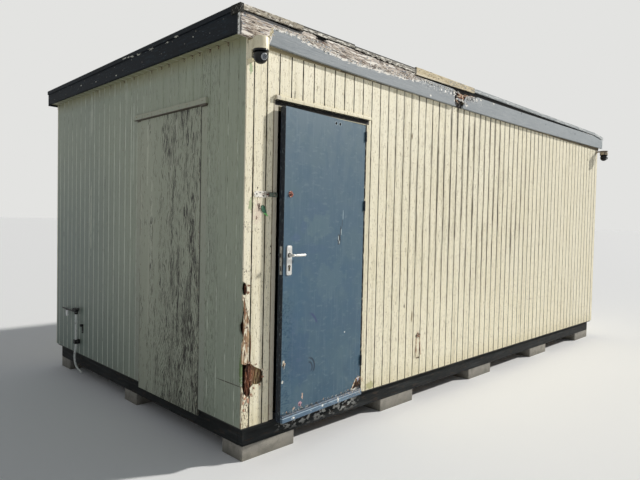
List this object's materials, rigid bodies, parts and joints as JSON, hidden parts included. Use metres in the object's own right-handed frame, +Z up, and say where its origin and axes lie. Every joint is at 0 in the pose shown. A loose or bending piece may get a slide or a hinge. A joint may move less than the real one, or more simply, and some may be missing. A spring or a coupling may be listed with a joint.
{
  "type": "portable site cabin",
  "caption": "Flat-roofed portable site cabin on blocks: grooved painted walls, an outward-opening door that stands ajar, and a blanked doorway in its end wall.",
  "frame": {"origin": "centre of the plan at ground level, on the underside of the middle support block", "axes": "+X along the length, towards the end without a doorway; the door wall faces -Y; +Z up"},
  "size_m": [6.206, 3.2858, 2.791],
  "materials": {
    "bar_blue": "blue paint on timber moulding",
    "bare_timber": "sawn softwood",
    "bearer_black": "sawn timber, black bitumen paint",
    "camera_black": "smooth dark ball",
    "camera_cream": "moulded housing",
    "concrete": "cast concrete, dusty",
    "cream_paint": "weathered gloss paint on grooved plywood",
    "door_blue": "slate blue paint on flush plywood",
    "fascia_blue": "flaking blue-grey paint on softwood",
    "fascia_navy": "dark blue-grey paint on softwood",
    "felt": "mineral roofing felt",
    "fitting_black": "moulded fitting",
    "handle_silver": "satin anodised",
    "hinge_steel": "painted over steel",
    "lining_white": "painted lining board",
    "lock_brass": "tarnished",
    "pipe_white": "plastic pipe",
    "rusty_steel": "rusted steel",
    "trim_tan": "weathered bare softwood",
    "zinc": "dull zinc plate"
  },
  "bodies": {
    "cabin": {"support_blocks": "concrete", "long_bearers": "bearer_black", "cross_joists": "bearer_black", "floor_deck": "bare_timber", "corner_posts": "bare_timber", "front_wall_left": "lining_white", "front_wall_over_door": "lining_white", "front_wall_right": "lining_white", "back_wall": "lining_white", "left_end_wall": "lining_white", "right_end_wall": "lining_white", "front_sheet_left": "cream_paint", "front_sheet_over_door": "cream_paint", "front_sheet_right": "cream_paint", "back_sheet": "cream_paint", "left_end_sheet": "cream_paint", "right_end_sheet": "cream_paint", "blanked_door_frame": "cream_paint", "blanked_door_panel": "cream_paint", "blanked_door_trim": "cream_paint", "door_jambs": "cream_paint", "door_head": "cream_paint", "door_sill": "bearer_black", "door_drip_trim": "cream_paint", "hinge_frame_leaves": "hinge_steel", "hasp_wall_leaf": "zinc", "roof_panel": "lining_white", "roof_felt": "felt", "end_soffits": "cream_paint", "eaves_battens": "cream_paint", "front_fascia": "fascia_blue", "back_fascia": "fascia_navy", "end_fascias": "fascia_navy", "front_edge_trim": "trim_tan", "back_edge_trim": "fascia_navy", "end_edge_trims": "fascia_navy", "camera_brackets": "camera_cream", "camera_housings": "camera_cream", "camera_balls": "camera_black", "tap_pipework": "pipe_white", "tap_body": "fitting_black", "pipe_clips": "fitting_black"},
    "door": {"door_leaf": "door_blue", "door_weather_bar": "bar_blue", "hinge_door_leaves": "hinge_steel", "lock_forend": "zinc", "handle_plates": "handle_silver", "lock_cylinder": "lock_brass", "hasp_staple": "rusty_steel"},
    "lever": {"lever_handle": "handle_silver"},
    "hasp": {"hasp_strap": "zinc"}
  },
  "joints": [
    {"name": "door_swing", "type": "hinge", "parent": "cabin", "child": "door", "pos_m": [-1.9045, -1.563, 1.643], "axis": [0, 0, 1], "range_deg": [-4.5, 105]},
    {"name": "lever_turn", "type": "hinge", "parent": "door", "child": "lever", "pos_m": [-2.70515, -1.61799, 1.3], "axis": [-0.0785, 0.9969, 0], "range_deg": [0, 35], "stiffness_Nm_per_rad": 1, "springref_deg": -28.65},
    {"name": "hasp_swing", "type": "hinge", "parent": "cabin", "child": "hasp", "pos_m": [-2.845, -1.565, 1.682], "axis": [0, 0, -1], "range_deg": [0, 180]}
  ]
}
